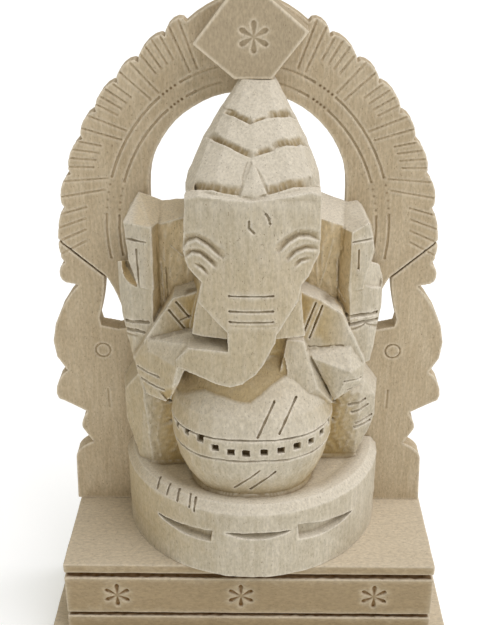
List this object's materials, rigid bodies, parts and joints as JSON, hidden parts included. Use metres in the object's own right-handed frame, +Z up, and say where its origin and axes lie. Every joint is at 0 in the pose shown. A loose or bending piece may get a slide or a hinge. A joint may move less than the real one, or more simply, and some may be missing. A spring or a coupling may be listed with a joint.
{
  "type": "wooden ganesha carving",
  "caption": "Hand-carved wooden figure of a seated elephant-headed deity on a half-round seat, in front of a lobed arch board on a rectangular base.",
  "frame": {"origin": "middle of the underside of the lower board", "axes": "+Z up, the figure faces -Y, +X to the viewer's right when seen from the front"},
  "size_m": [0.156, 0.059, 0.2533],
  "materials": {
    "pale_wood": "raw knife-cut wood, unvarnished",
    "board_wood": "raw sanded board, unvarnished",
    "base_wood": "raw planed wood, unvarnished"
  },
  "bodies": {
    "root": {"foot_board": "base_wood", "base_block": "base_wood", "arch_board": "board_wood", "crest_diamond": "board_wood", "ganesha_figure": "pale_wood"}
  },
  "joints": []
}
